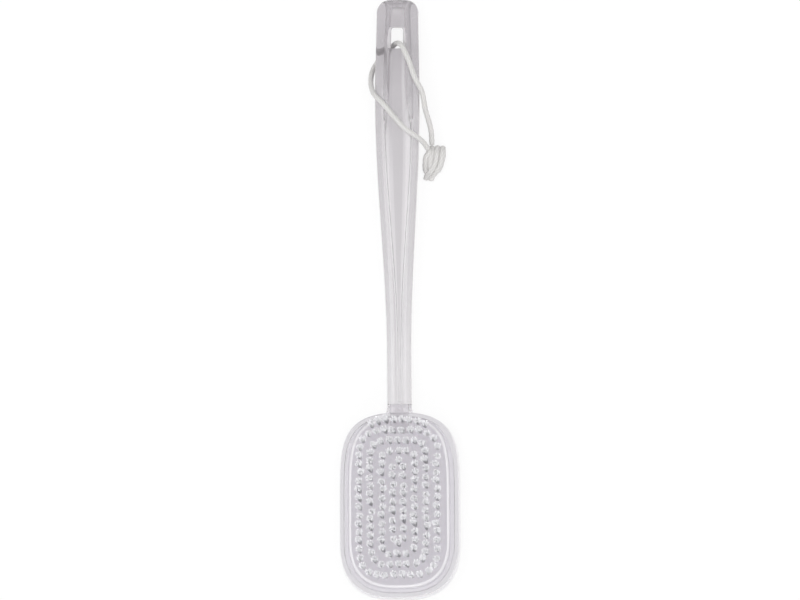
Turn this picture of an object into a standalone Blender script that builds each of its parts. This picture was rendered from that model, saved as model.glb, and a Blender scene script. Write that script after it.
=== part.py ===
"""Clear plastic bath brush, lying on its back along Y with its bristles up.

The head is a hollow shell closed by a tufted plate. The handle plugs into the head's collar by a
tongue, and a hanging cord runs through the slot near its other end.
"""

import math

import bmesh
import bpy
import numpy as np
from mathutils import Matrix, Vector

# Whole brush
LENGTH = 0.390
FIT_GAP = 0.0003
CUT_OVERRUN = 0.002
SHARP_ANGLE = math.radians(35)

# Head shell: an egg shape with square shoulders at the neck, rounded into a flat back.
# Its reaches run from the widest place to the neck and to the far end.
HEAD_WIDTH = 0.078
HEAD_NECK_REACH = 0.0822
HEAD_FAR_REACH = 0.0393
NECK_END_POWERS = (2.5, 6.4)
FAR_END_POWERS = (2.7, 2.6)
HEAD_HEIGHT = 0.0125
BACK_ROUND = 0.0022
RIM_LEAN = 0.0008
RIM_ROUND = 0.0004
RIM_WALL = 0.0035
LEDGE_WIDTH = 0.0012
LEDGE_DEPTH = 0.0029
FLOOR = 0.0025
FLOOR_ROUND = 0.0015
OUTLINE_STEPS = 56
ROUND_STEPS = 4

# Bristle plate: a flange in the shell's mouth and a raised pad, set in from the head's outline
PAD_SIDE_INSET = 0.0073
PAD_NECK_INSET = 0.0049
PAD_FAR_INSET = 0.0075
PAD_HEIGHT = 0.0025
PAD_EDGE = 0.0008

# Tufts: a part row along the pad's neck end, and closed loops set in from the pad's outline
ROW_TUFTS = 8
ROW_SHARE_OF_PAD = 0.552
ROW_INSET = 0.0020
ROW_FINE_STEPS = 2000
LOOP_COUNT = 4
ROW_TO_LOOP = 0.0069
LOOP_SIDE_INSET = 0.0067
LOOP_FAR_INSET = 0.0066
FIRST_LOOP_HALF_WIDTH = 0.0034
FIRST_LOOP_CORNER = 0.0030
LOOP_STEP_ALONG = 0.0067
LOOP_STEP_CORNER = 0.0033
TUFT_PITCH = 0.0055
STRIP_WIDTH = 0.0026
STRIP_DEPTH = 0.0012
CORNER_STEPS = 5

# Bristles
BRISTLE_LENGTH = 0.015
BRISTLES_A_TUFT = 3
BRISTLE_SIDES = 3
BRISTLE_RADIUS = 0.00055
BRISTLE_TIP_RADIUS = 0.00048
BRISTLE_ROOT = 0.0006
TUFT_ROOT_RADIUS = 0.0006
TUFT_TIP_RADIUS = 0.0013
TUFT_TURN = math.radians(137.5)

# Neck: the collar of the head and the end of the handle share its section
COLLAR_LENGTH = 0.0047
NECK_WIDTH = 0.0157
NECK_HEIGHT = 0.0100
NECK_BACK = 0.0010
TONGUE_WIDTH = 0.0110
TONGUE_HEIGHT = 0.0060
TONGUE_LENGTH = 0.0180
TONGUE_CHAMFER = 0.0008
SOCKET_END_WALL = 0.0020
GUIDE_HEIGHT = 0.0045

# Handle: a crowned bar that bows up from the neck and comes down again to its tip
TIP_WIDTH = 0.0268
GRIP_WIDTH = 0.0288
GRIP_FROM_TIP = 0.066
NECK_FROM_TIP = 0.232
TIP_HEIGHT = 0.0125
GRIP_HEIGHT = 0.0150
TIP_CORNER = 0.0085
TIP_FRONT_ROUND = 0.0030
TIP_BACK_ROUND = 0.0010
TIP_FALL_SLOPE = 0.158
FRONT_POWER = 2.6
BACK_POWER = 4.5
SECTION_STEPS = 24
HANDLE_STATIONS = 24
TIP_STATIONS = 5

# Channel in the handle's back, and the hang slot in its front
SIDE_WALL = 0.0067
END_WALL = 0.0025
FRONT_SKIN = 0.0035
CHANNEL_ROUND = 0.0015
CHANNEL_DRAFT = 0.0003
CHANNEL_LEAST_WIDTH = 0.0016
SLOT_FROM_TIP = 0.0190
SLOT_LENGTH = 0.0143
SLOT_WIDTH = 0.0122
SLOT_BACK_WIDTH = 0.0076
SLOT_CORNER = 0.0020

# Hanging cord, from the knot up over the handle, down through the slot, round its side and back
CORD_DIAMETER = 0.0033
CORD_POINT_SPACING = 0.0050
CORD_RING_STEPS = 2
CURVE_STEPS_A_POINT = 40
CORD_ROUTE = [
    (0.0218, 0.0998, 0.0066),
    (0.0213, 0.1094, 0.0083),
    (0.0197, 0.1163, 0.0104),
    (0.0177, 0.1241, 0.0133),
    (0.0160, 0.1336, 0.0174),
    (0.0123, 0.1408, 0.0205),
    (0.0080, 0.1529, 0.0209),
    (0.0050, 0.1599, 0.0209),
    (0.0031, 0.1636, 0.0190),
    (0.0006, 0.1657, 0.0143),
    (-0.0019, 0.1658, 0.0080),
    (-0.0047, 0.1640, 0.0034),
    (-0.0089, 0.1603, 0.0018),
    (-0.0137, 0.1548, 0.0021),
    (-0.0162, 0.1499, 0.0040),
    (-0.0173, 0.1434, 0.0090),
    (-0.0166, 0.1368, 0.0149),
    (-0.0140, 0.1309, 0.0196),
    (-0.0096, 0.1262, 0.0221),
    (-0.0035, 0.1187, 0.0234),
    (0.0013, 0.1129, 0.0236),
    (0.0058, 0.1083, 0.0234),
    (0.0105, 0.1050, 0.0224),
    (0.0148, 0.1022, 0.0190),
    (0.0176, 0.0996, 0.0146),
    (0.0196, 0.0966, 0.0104),
]

# Knot
KNOT_WIDTH = 0.0140
KNOT_LENGTH = 0.0200
KNOT_HEIGHT = 0.0106
KNOT_X = 0.0228
KNOT_Y = 0.0896
KNOT_STEPS = 24
KNOT_RINGS = 16
KNOT_LUMP_SHARE = 0.16
KNOT_WRAPS = 1.6
KNOT_TAIL_ROOT_SHARES = (0.17, 0.25)
KNOT_TAIL_LENGTH = 0.0065
KNOT_TAIL_SPREAD = 0.0019
KNOT_TAIL_SLANT = 0.0035
KNOT_STUB = 0.0060
ROD_SIDES = 12

# Places worked out from the sizes above
TIP_Y = LENGTH / 2
WIDEST_Y = HEAD_FAR_REACH - LENGTH / 2
HEAD_END_Y = WIDEST_Y + HEAD_NECK_REACH
JOINT_Y = HEAD_END_Y + COLLAR_LENGTH
PAD_HALF_WIDTH = HEAD_WIDTH / 2 - PAD_SIDE_INSET
PAD_NECK_REACH = HEAD_NECK_REACH - PAD_NECK_INSET
PAD_FAR_REACH = HEAD_FAR_REACH - PAD_FAR_INSET
LOOPS_NECK_Y = WIDEST_Y + PAD_NECK_REACH - ROW_INSET - ROW_TO_LOOP
LOOPS_FAR_Y = WIDEST_Y - PAD_FAR_REACH + LOOP_FAR_INSET
LOOPS_Y = (LOOPS_NECK_Y + LOOPS_FAR_Y) / 2
LEDGE_Z = HEAD_HEIGHT - LEDGE_DEPTH
PLATE_UNDER_Z = LEDGE_Z + FIT_GAP
PAD_Z = HEAD_HEIGHT + PAD_HEIGHT
TONGUE_Z = NECK_BACK + (NECK_HEIGHT - TONGUE_HEIGHT) / 2


def egg_outline(half_width, neck_reach, far_reach):
    """Corners of the head's egg shape, anticlockwise from +X at its widest place."""
    corners = []
    for step in range(OUTLINE_STEPS):
        turn = 2 * math.pi * step / OUTLINE_STEPS
        across, along = math.cos(turn), math.sin(turn)
        if along > 0:
            reach, powers = neck_reach, NECK_END_POWERS
        else:
            reach, powers = far_reach, FAR_END_POWERS
        corners.append(
            Vector((
                half_width * math.copysign(abs(across) ** (2 / powers[0]), across),
                reach * math.copysign(abs(along) ** (2 / powers[1]), along),
            ))
        )
    return corners


def rounded_rectangle(half_x, half_y, corner, steps):
    """Corners of a closed rounded rectangle, anticlockwise from the arc at +X +Y."""
    corners = []
    for quarter, (side_x, side_y) in enumerate(((1, 1), (-1, 1), (-1, -1), (1, -1))):
        for step in range(steps + 1):
            turn = math.pi / 2 * (quarter + step / steps)
            corners.append(
                Vector((
                    side_x * (half_x - corner) + corner * math.cos(turn),
                    side_y * (half_y - corner) + corner * math.sin(turn),
                ))
            )
    return corners


def add_object(name, mesh):
    obj = bpy.data.objects.new(name, mesh)
    bpy.context.scene.collection.objects.link(obj)
    return obj


def finish_mesh(name, shape):
    bmesh.ops.recalc_face_normals(shape, faces=shape.faces)
    mesh = bpy.data.meshes.new(name)
    shape.to_mesh(mesh)
    shape.free()
    mesh.shade_smooth()
    mesh.set_sharp_from_angle(angle=SHARP_ANGLE)
    return add_object(name, mesh)


def add_loft(shape, loops):
    """Skins closed loops of equally many corners and caps both ends."""
    rows = [[shape.verts.new(corner) for corner in loop] for loop in loops]
    count = len(rows[0])
    for low, high in zip(rows, rows[1:]):
        for i in range(count):
            j = (i + 1) % count
            shape.faces.new((low[i], low[j], high[j], high[i]))
    shape.faces.new(reversed(rows[0]))
    shape.faces.new(rows[-1])


def loft(name, loops):
    shape = bmesh.new()
    add_loft(shape, loops)
    return finish_mesh(name, shape)


def level_loop(corners, z, centre_y=WIDEST_Y):
    return [Vector((corner.x, corner.y + centre_y, z)) for corner in corners]


def combine(obj, tool, operation):
    """Adds or cuts a hidden tool shape, which moves with the object."""
    tool.parent = obj
    tool.hide_render = True
    tool.display_type = "WIRE"
    modifier = obj.modifiers.new(tool.name, "BOOLEAN")
    modifier.operation = operation
    modifier.solver = "EXACT"
    modifier.object = tool


def set_material(obj, colour, roughness, transmission=0.0):
    material = bpy.data.materials.new(obj.name)
    material.use_nodes = True
    shader = material.node_tree.nodes["Principled BSDF"]
    shader.inputs["Base Color"].default_value = (*colour, 1.0)
    shader.inputs["Roughness"].default_value = roughness
    shader.inputs["Metallic"].default_value = 0.0
    shader.inputs["Transmission Weight"].default_value = transmission
    obj.data.materials.append(material)


def set_clear_plastic(obj):
    set_material(obj, (0.84, 0.83, 0.87), 0.12, 0.9)


def set_nylon(obj):
    set_material(obj, (0.90, 0.90, 0.92), 0.35)


# Neck section, and the profiles along the handle


def bar_section(width, height, back_z, y):
    """Loop across a bar: a crowned front, a flatter back."""
    loop = []
    for step in range(SECTION_STEPS):
        turn = 2 * math.pi * step / SECTION_STEPS
        across, up = math.cos(turn), math.sin(turn)
        power = FRONT_POWER if up > 0 else BACK_POWER
        x = width / 2 * math.copysign(abs(across) ** (2 / power), across)
        z = back_z + height / 2 * (1 + math.copysign(abs(up) ** (2 / power), up))
        loop.append(Vector((x, y, z)))
    return loop


def eased(start, end, share):
    return start + (end - start) * (1 - math.cos(math.pi * min(max(share, 0), 1))) / 2


def handle_width(from_tip):
    if from_tip < GRIP_FROM_TIP:
        return eased(TIP_WIDTH, GRIP_WIDTH, from_tip / GRIP_FROM_TIP)
    taper = NECK_FROM_TIP - GRIP_FROM_TIP
    return eased(GRIP_WIDTH, NECK_WIDTH, (from_tip - GRIP_FROM_TIP) / taper)


def handle_height(from_tip):
    if from_tip < GRIP_FROM_TIP:
        return eased(TIP_HEIGHT, GRIP_HEIGHT, from_tip / GRIP_FROM_TIP)
    taper = NECK_FROM_TIP - GRIP_FROM_TIP
    return eased(GRIP_HEIGHT, NECK_HEIGHT, (from_tip - GRIP_FROM_TIP) / taper)


def handle_back(from_tip):
    """Height of the back: level at the neck, falling at the tip's slope to the surface."""
    reach = TIP_Y - JOINT_Y
    share = 1 - from_tip / reach
    neck_part = NECK_BACK * (2 * share**3 - 3 * share**2 + 1)
    return neck_part + TIP_FALL_SLOPE * reach * share**2 * (1 - share)


def round_loss(radius, distance):
    """How far a rounded edge has drawn in at a distance from its end."""
    if distance >= radius:
        return 0.0
    return radius - math.sqrt(radius**2 - (radius - distance) ** 2)


def handle_loop(from_tip):
    front_loss = round_loss(TIP_FRONT_ROUND, from_tip)
    back_loss = round_loss(TIP_BACK_ROUND, from_tip)
    return bar_section(
        handle_width(from_tip) - 2 * round_loss(TIP_CORNER, from_tip),
        handle_height(from_tip) - front_loss - back_loss,
        handle_back(from_tip) + back_loss,
        TIP_Y - from_tip,
    )


def stations(start, end, count):
    return [start + (end - start) * step / count for step in range(count + 1)]


def tip_stations():
    """Distances from the tip round its corners, closer together near the end."""
    return [TIP_CORNER * (1 - math.cos(math.pi / 2 * step / TIP_STATIONS)) for step in range(TIP_STATIONS)]


# Head


def head_outline(inset):
    return egg_outline(HEAD_WIDTH / 2 - inset, HEAD_NECK_REACH - inset, HEAD_FAR_REACH - inset)


def make_head_shell():
    profile = []
    for step in range(ROUND_STEPS + 1):
        turn = math.pi / 2 * step / ROUND_STEPS
        profile.append((BACK_ROUND * (1 - math.sin(turn)), BACK_ROUND * (1 - math.cos(turn))))
    inner = RIM_WALL + LEDGE_WIDTH
    profile += [
        (RIM_LEAN / 2, (BACK_ROUND + HEAD_HEIGHT) / 2),
        (RIM_LEAN, HEAD_HEIGHT - RIM_ROUND),
        (RIM_LEAN + RIM_ROUND, HEAD_HEIGHT),
        (RIM_WALL, HEAD_HEIGHT),
        (RIM_WALL, LEDGE_Z),
        (inner, LEDGE_Z),
        (inner, FLOOR + FLOOR_ROUND),
        (inner + FLOOR_ROUND, FLOOR),
    ]
    shell = loft("head_shell", [level_loop(head_outline(inset), z) for inset, z in profile])

    in_wall_y = HEAD_END_Y - RIM_WALL / 2
    collar = loft(
        "collar",
        [bar_section(NECK_WIDTH, NECK_HEIGHT, NECK_BACK, y) for y in (in_wall_y, JOINT_Y)],
    )
    combine(shell, collar, "UNION")

    socket_end_y = JOINT_Y - TONGUE_LENGTH - FIT_GAP
    guide = box(
        "socket_guide",
        (NECK_WIDTH, in_wall_y - socket_end_y + SOCKET_END_WALL, GUIDE_HEIGHT + FLOOR / 2),
        (0, (in_wall_y + socket_end_y - SOCKET_END_WALL) / 2, TONGUE_Z + (GUIDE_HEIGHT - FLOOR / 2) / 2),
    )
    combine(shell, guide, "UNION")

    socket = box(
        "socket",
        (
            TONGUE_WIDTH + 2 * FIT_GAP,
            JOINT_Y + CUT_OVERRUN - socket_end_y,
            TONGUE_HEIGHT + 2 * FIT_GAP,
        ),
        (0, (JOINT_Y + CUT_OVERRUN + socket_end_y) / 2, TONGUE_Z + TONGUE_HEIGHT / 2),
    )
    combine(shell, socket, "DIFFERENCE")
    set_clear_plastic(shell)
    return shell


def box(name, size, centre):
    shape = bmesh.new()
    bmesh.ops.create_cube(shape, size=1)
    bmesh.ops.scale(shape, vec=size, verts=shape.verts)
    bmesh.ops.translate(shape, vec=centre, verts=shape.verts)
    return finish_mesh(name, shape)


def pad_outline(inset):
    return egg_outline(PAD_HALF_WIDTH - inset, PAD_NECK_REACH - inset, PAD_FAR_REACH - inset)


def make_bristle_plate():
    flange = head_outline(RIM_WALL + FIT_GAP)
    edge_corner = PAD_EDGE * (1 - math.sqrt(0.5))
    plate = loft(
        "bristle_plate",
        [
            level_loop(flange, PLATE_UNDER_Z),
            level_loop(flange, HEAD_HEIGHT),
            level_loop(pad_outline(0), HEAD_HEIGHT),
            level_loop(pad_outline(0), PAD_Z - PAD_EDGE),
            level_loop(pad_outline(edge_corner), PAD_Z - edge_corner),
            level_loop(pad_outline(PAD_EDGE), PAD_Z),
        ],
    )
    for number in range(LOOP_COUNT):
        groove = loop_strip(f"groove_{number + 1}", number, FIT_GAP, CUT_OVERRUN)
        combine(plate, groove, "DIFFERENCE")
    combine(plate, row_strip("row_groove", FIT_GAP, CUT_OVERRUN), "DIFFERENCE")
    set_clear_plastic(plate)
    return plate


# Bristles


def loop_sizes(number):
    """Half width, half length and corner radius of a loop, counted from the innermost."""
    inward = LOOP_COUNT - 1 - number
    outer_half_width = PAD_HALF_WIDTH - LOOP_SIDE_INSET
    step_across = (outer_half_width - FIRST_LOOP_HALF_WIDTH) / (LOOP_COUNT - 1)
    return (
        outer_half_width - inward * step_across,
        (LOOPS_NECK_Y - LOOPS_FAR_Y) / 2 - inward * LOOP_STEP_ALONG,
        FIRST_LOOP_CORNER + number * LOOP_STEP_CORNER,
    )


def loop_strip(name, number, gap, rise):
    """Closed strip of the plate that one loop of tufts stands in, or with a gap its groove."""
    half_x, half_y, corner = loop_sizes(number)
    half_strip = STRIP_WIDTH / 2 + gap
    outlines = [
        rounded_rectangle(half_x + side, half_y + side, corner + side, CORNER_STEPS)
        for side in (half_strip, -half_strip)
    ]
    return strip_between(name, outlines, gap, rise, LOOPS_Y, closed=True)


def row_angles(count, reach):
    return [math.pi / 2 + reach * (2 * step / count - 1) for step in range(count + 1)]


def row_sizes(inset):
    return PAD_HALF_WIDTH - inset, PAD_NECK_REACH - inset


def row_point(turn, inset):
    half_width, reach = row_sizes(inset)
    across, along = math.cos(turn), math.sin(turn)
    return Vector((
        half_width * math.copysign(abs(across) ** (2 / NECK_END_POWERS[0]), across),
        reach * abs(along) ** (2 / NECK_END_POWERS[1]),
    ))


def row_tufts():
    """Places of the part row, evenly spaced and even about the middle."""
    fine = [row_point(turn, ROW_INSET) for turn in row_angles(ROW_FINE_STEPS, math.pi / 2)]
    run = np.concatenate([[0], np.cumsum([(b - a).length for a, b in zip(fine, fine[1:])])])
    half_row = ROW_SHARE_OF_PAD * PAD_HALF_WIDTH
    wanted = stations(run[-1] / 2 - half_row, run[-1] / 2 + half_row, ROW_TUFTS - 1)
    return [fine[int(np.searchsorted(run, place))] for place in wanted]


def row_strip(name, gap, rise):
    """Open strip of the plate that the part row stands in, or with a gap its groove."""
    half_width = row_sizes(ROW_INSET)[0]
    half_strip = STRIP_WIDTH / 2 + gap
    end = row_tufts()[0]
    end_turn = math.acos(((end.x + half_strip) / half_width) ** (NECK_END_POWERS[0] / 2))
    outlines = [
        [row_point(turn, ROW_INSET + side) for turn in row_angles(OUTLINE_STEPS // 2, math.pi / 2 - end_turn)]
        for side in (-half_strip, half_strip)
    ]
    return strip_between(name, outlines, gap, rise, WIDEST_Y, closed=False)


def strip_between(name, outlines, gap, rise, centre_y, closed):
    """Slab between two outlines: its top flush with the pad, or raised to cut a groove."""
    shape = bmesh.new()
    levels = (PAD_Z - STRIP_DEPTH - gap, PAD_Z + rise)
    rows = [
        [shape.verts.new((corner.x, corner.y + centre_y, z)) for corner in outline]
        for outline, z in (
            (outlines[0], levels[0]),
            (outlines[0], levels[1]),
            (outlines[1], levels[1]),
            (outlines[1], levels[0]),
        )
    ]
    count = len(outlines[0])
    for side in range(4):
        low, high = rows[side], rows[(side + 1) % 4]
        for i in range(count if closed else count - 1):
            j = (i + 1) % count
            shape.faces.new((low[i], low[j], high[j], high[i]))
    if not closed:
        shape.faces.new([row[0] for row in rows])
        shape.faces.new([row[-1] for row in reversed(rows)])
    return finish_mesh(name, shape)


def loop_tufts(number):
    """Places of one loop's tufts, evenly spaced, staggered against the next loop's."""
    half_x, half_y, corner = loop_sizes(number)
    straights = (2 * (half_y - corner), 2 * (half_x - corner))
    arc = math.pi / 2 * corner
    around = 2 * sum(straights) + 4 * arc
    count = 2 * round(around / TUFT_PITCH / 2)
    places = []
    for step in range(count):
        along = (step + number % 2 / 2) * around / count + straights[0] / 2
        side = 0
        while along >= straights[side % 2] + arc:
            along -= straights[side % 2] + arc
            side += 1
        straight, other = straights[side % 2], straights[(side + 1) % 2]
        bend = max(along - straight, 0) / corner
        out = other / 2 + corner * math.cos(bend)
        run = min(along, straight) - straight / 2 + corner * math.sin(bend)
        places.append(quarter_turn(out, run, side))
    return places


def quarter_turn(out, run, side):
    turned = ((out, run), (-run, out), (-out, -run), (run, -out))
    return Vector(turned[side % 4])


def make_bristles(name, strip, places, centre_y):
    """Tufts of splayed strands, fused to their strip."""
    shape = bmesh.new()
    low_z, high_z = PAD_Z - BRISTLE_ROOT, PAD_Z + BRISTLE_LENGTH
    for number, place in enumerate(places):
        for strand in range(BRISTLES_A_TUFT):
            turn = number * TUFT_TURN + 2 * math.pi * strand / BRISTLES_A_TUFT
            heading = Vector((math.cos(turn), math.sin(turn)))
            ends = (
                (place + heading * TUFT_ROOT_RADIUS, low_z, BRISTLE_RADIUS),
                (place + heading * TUFT_TIP_RADIUS, high_z, BRISTLE_TIP_RADIUS),
            )
            add_loft(shape, [strand_loop(centre, z, radius, turn, centre_y) for centre, z, radius in ends])
    combine(strip, finish_mesh(f"{name}_strands", shape), "UNION")
    set_nylon(strip)


def strand_loop(centre, z, radius, turn, centre_y):
    corners = [turn + 2 * math.pi * side / BRISTLE_SIDES for side in range(BRISTLE_SIDES)]
    return [
        Vector((centre.x + radius * math.cos(corner), centre.y + centre_y + radius * math.sin(corner), z))
        for corner in corners
    ]


# Handle


def channel_loop(from_tip):
    """Loop across the channel: open below the back, its roof one skin under the front."""
    half = max(handle_width(from_tip) - 2 * SIDE_WALL, CHANNEL_LEAST_WIDTH) / 2
    roof_z = handle_back(from_tip) + handle_height(from_tip) - FRONT_SKIN
    mouth_z = handle_back(from_tip) - CUT_OVERRUN
    corner = min(CHANNEL_ROUND, half / 2)
    y = TIP_Y - from_tip
    side = [
        (half + CHANNEL_DRAFT, mouth_z),
        (half, roof_z - corner),
        (half - corner * (1 - math.sqrt(0.5)), roof_z - corner * (1 - math.sqrt(0.5))),
        (half - corner, roof_z),
    ]
    right = [Vector((x, y, z)) for x, z in side]
    left = [Vector((-x, y, z)) for x, z in reversed(side)]
    return right + left


def make_handle():
    reach = TIP_Y - JOINT_Y - FIT_GAP
    along = tip_stations() + stations(TIP_CORNER, reach, HANDLE_STATIONS)
    handle = loft("handle", [handle_loop(from_tip) for from_tip in along])

    channel = loft(
        "channel",
        [channel_loop(from_tip) for from_tip in stations(END_WALL, reach - END_WALL, HANDLE_STATIONS)],
    )
    combine(handle, channel, "DIFFERENCE")

    slot_centre_y = TIP_Y - SLOT_FROM_TIP - SLOT_LENGTH / 2
    slot_middle = SLOT_FROM_TIP + SLOT_LENGTH / 2
    slot_front_z = handle_back(slot_middle) + handle_height(slot_middle)
    narrow = rounded_rectangle(SLOT_BACK_WIDTH / 2, SLOT_LENGTH / 2, SLOT_CORNER, CORNER_STEPS)
    wide = rounded_rectangle(SLOT_WIDTH / 2, SLOT_LENGTH / 2, SLOT_CORNER, CORNER_STEPS)
    slot = loft(
        "hang_slot",
        [
            level_loop(narrow, -CUT_OVERRUN, slot_centre_y),
            level_loop(narrow, slot_front_z - FRONT_SKIN, slot_centre_y),
            level_loop(wide, slot_front_z, slot_centre_y),
            level_loop(wide, slot_front_z + GRIP_HEIGHT, slot_centre_y),
        ],
    )
    combine(handle, slot, "DIFFERENCE")

    tongue_end_y = JOINT_Y - TONGUE_LENGTH
    tongue = loft(
        "tongue",
        [
            tongue_loop(TONGUE_CHAMFER, tongue_end_y),
            tongue_loop(0, tongue_end_y + TONGUE_CHAMFER),
            tongue_loop(0, JOINT_Y + END_WALL / 2),
        ],
    )
    combine(handle, tongue, "UNION")
    set_clear_plastic(handle)
    return handle


def tongue_loop(chamfer, y):
    half = TONGUE_WIDTH / 2 - chamfer
    low, high = TONGUE_Z + chamfer, TONGUE_Z + TONGUE_HEIGHT - chamfer
    return [Vector(corner) for corner in ((half, y, low), (half, y, high), (-half, y, high), (-half, y, low))]


# Cord and knot


def smooth_points(route, spacing):
    """Evenly spaced points on the natural cubic spline through the route."""
    points = np.array(route)
    gaps = np.linalg.norm(np.diff(points, axis=0), axis=1)
    knots = np.concatenate([[0], np.cumsum(gaps)])
    count = len(points)
    system = np.eye(count)
    pull = np.zeros_like(points)
    for i in range(1, count - 1):
        system[i, i - 1 : i + 2] = gaps[i - 1], 2 * (gaps[i - 1] + gaps[i]), gaps[i]
        pull[i] = 6 * ((points[i + 1] - points[i]) / gaps[i] - (points[i] - points[i - 1]) / gaps[i - 1])
    bends = np.linalg.solve(system, pull)
    fine = np.linspace(0, knots[-1], CURVE_STEPS_A_POINT * count)
    piece = np.clip(np.searchsorted(knots, fine, side="right") - 1, 0, count - 2)
    width = gaps[piece][:, None]
    after = (fine - knots[piece])[:, None]
    before = width - after
    curve = (
        bends[piece] * before**3 / (6 * width)
        + bends[piece + 1] * after**3 / (6 * width)
        + (points[piece] / width - bends[piece] * width / 6) * before
        + (points[piece + 1] / width - bends[piece + 1] * width / 6) * after
    )
    run = np.concatenate([[0], np.cumsum(np.linalg.norm(np.diff(curve, axis=0), axis=1))])
    wanted = np.linspace(0, run[-1], max(round(run[-1] / spacing), 2) + 1)
    return np.stack([np.interp(wanted, run, curve[:, axis]) for axis in range(3)], axis=1)


def make_cord():
    points = smooth_points(CORD_ROUTE, CORD_POINT_SPACING)
    data = bpy.data.curves.new("hanging_cord", "CURVE")
    data.dimensions = "3D"
    data.bevel_depth = CORD_DIAMETER / 2
    data.bevel_resolution = CORD_RING_STEPS
    data.use_fill_caps = True
    spline = data.splines.new("POLY")
    spline.points.add(len(points) - 1)
    for target, point in zip(spline.points, points):
        target.co = (*point, 1)
    cord = add_object("hanging_cord", data)
    set_material(cord, (0.80, 0.80, 0.79), 0.8)
    return cord


def rod(name, start, end, radius):
    """Straight round rod between two points."""
    start, end = Vector(start), Vector(end)
    shape = bmesh.new()
    bmesh.ops.create_cone(
        shape,
        cap_ends=True,
        segments=ROD_SIDES,
        radius1=radius,
        radius2=radius,
        depth=(end - start).length,
    )
    turn = (end - start).to_track_quat("Z", "Y").to_matrix()
    bmesh.ops.rotate(shape, matrix=turn, verts=shape.verts)
    bmesh.ops.translate(shape, vec=(start + end) / 2, verts=shape.verts)
    return finish_mesh(name, shape)


def make_knot():
    """Lumpy ball of cord, with the cord's two ends going in and its two tails coming out."""
    centre = Vector((KNOT_X, KNOT_Y, KNOT_HEIGHT / 2))
    shape = bmesh.new()
    bmesh.ops.create_uvsphere(shape, u_segments=KNOT_STEPS, v_segments=KNOT_RINGS, radius=1)
    for vert in shape.verts:
        x, z, y = vert.co
        wrap = math.cos(2 * math.pi * KNOT_WRAPS * y + math.atan2(z, x))
        lump = 1 - KNOT_LUMP_SHARE * (1 - wrap) * (1 - y * y) / 2
        vert.co = Vector((x * KNOT_WIDTH, y * KNOT_LENGTH, z * KNOT_HEIGHT)) / 2 * lump + centre
    knot = finish_mesh("cord_knot", shape)

    points = smooth_points(CORD_ROUTE, CORD_POINT_SPACING)
    for number, (end, inner) in enumerate(((points[0], points[1]), (points[-1], points[-2]))):
        end, inner = Vector(end), Vector(inner)
        heading = (end - inner).normalized()
        start = end + heading * FIT_GAP
        stub = rod(f"knot_stub_{number + 1}", start, start + heading * KNOT_STUB, CORD_DIAMETER / 2)
        combine(knot, stub, "UNION")
    tail_z = CORD_DIAMETER / 2 + FIT_GAP
    root_x = KNOT_X - KNOT_WIDTH * KNOT_TAIL_ROOT_SHARES[0]
    root_y = KNOT_Y - KNOT_LENGTH * KNOT_TAIL_ROOT_SHARES[1]
    for number, spread in enumerate((-KNOT_TAIL_SPREAD, KNOT_TAIL_SPREAD)):
        tail_end = (KNOT_X - KNOT_TAIL_SLANT + spread, root_y - KNOT_TAIL_LENGTH + spread, tail_z)
        tail = rod(f"knot_tail_{number + 1}", (root_x, root_y, tail_z), tail_end, CORD_DIAMETER / 2)
        combine(knot, tail, "UNION")
    set_material(knot, (0.80, 0.80, 0.79), 0.8)
    return knot


def hang_on_joint(pieces):
    """Parents the handle's pieces to an empty on the line that the tongue slides along."""
    joint = add_object("handle_joint", None)
    joint.location = (0, JOINT_Y, TONGUE_Z + TONGUE_HEIGHT / 2)
    for piece in pieces:
        piece.parent = joint
        piece.matrix_parent_inverse = Matrix.Translation(-joint.location)


def main():
    for obj in list(bpy.data.objects):
        bpy.data.objects.remove(obj)
    make_head_shell()
    make_bristle_plate()
    for number in range(LOOP_COUNT):
        name = f"bristle_loop_{number + 1}"
        make_bristles(name, loop_strip(name, number, 0, 0), loop_tufts(number), LOOPS_Y)
    make_bristles("bristle_row", row_strip("bristle_row", 0, 0), row_tufts(), WIDEST_Y)
    hang_on_joint([make_handle(), make_cord(), make_knot()])


main()
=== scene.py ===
"""Clear plastic bath brush on a pale table, bristles up, with its white hanging cord.

The brush is put together from the head's shell, the plate with its tufts, the handle with the cord
through its slot, and the knot that closes the cord's loop.
"""

import bmesh
import bpy
import numpy as np
from mathutils import Matrix, Vector


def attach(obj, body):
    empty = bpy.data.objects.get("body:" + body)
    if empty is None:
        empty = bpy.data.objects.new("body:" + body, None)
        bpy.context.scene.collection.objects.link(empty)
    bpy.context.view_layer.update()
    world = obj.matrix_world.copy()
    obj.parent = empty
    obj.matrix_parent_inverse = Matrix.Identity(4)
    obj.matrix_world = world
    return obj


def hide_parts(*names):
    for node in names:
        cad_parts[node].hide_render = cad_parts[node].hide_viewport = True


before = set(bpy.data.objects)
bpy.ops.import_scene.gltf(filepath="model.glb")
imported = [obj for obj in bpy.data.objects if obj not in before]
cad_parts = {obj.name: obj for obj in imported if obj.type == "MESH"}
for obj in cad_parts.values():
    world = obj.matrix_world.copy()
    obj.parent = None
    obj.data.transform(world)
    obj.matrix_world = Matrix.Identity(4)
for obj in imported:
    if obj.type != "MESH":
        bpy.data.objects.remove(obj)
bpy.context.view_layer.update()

# ---- Table, light and camera
# A white table in a white studio, whose light comes mostly from above but which mirrors darker
# there than at its sides, with two large soft lamps and a third past the head's end. The camera
# looks almost straight down from far off, a little from the head's end and from the right.

image_columns = 800
pixel_size = 0.0006444
frame_width = image_columns * pixel_size
camera_distance = 12
aim = Vector((0.0003, 0.0004, 0))
towards_camera = Vector((0.061, -0.139, 0.988)).normalized()
roll = 0.0045

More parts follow.
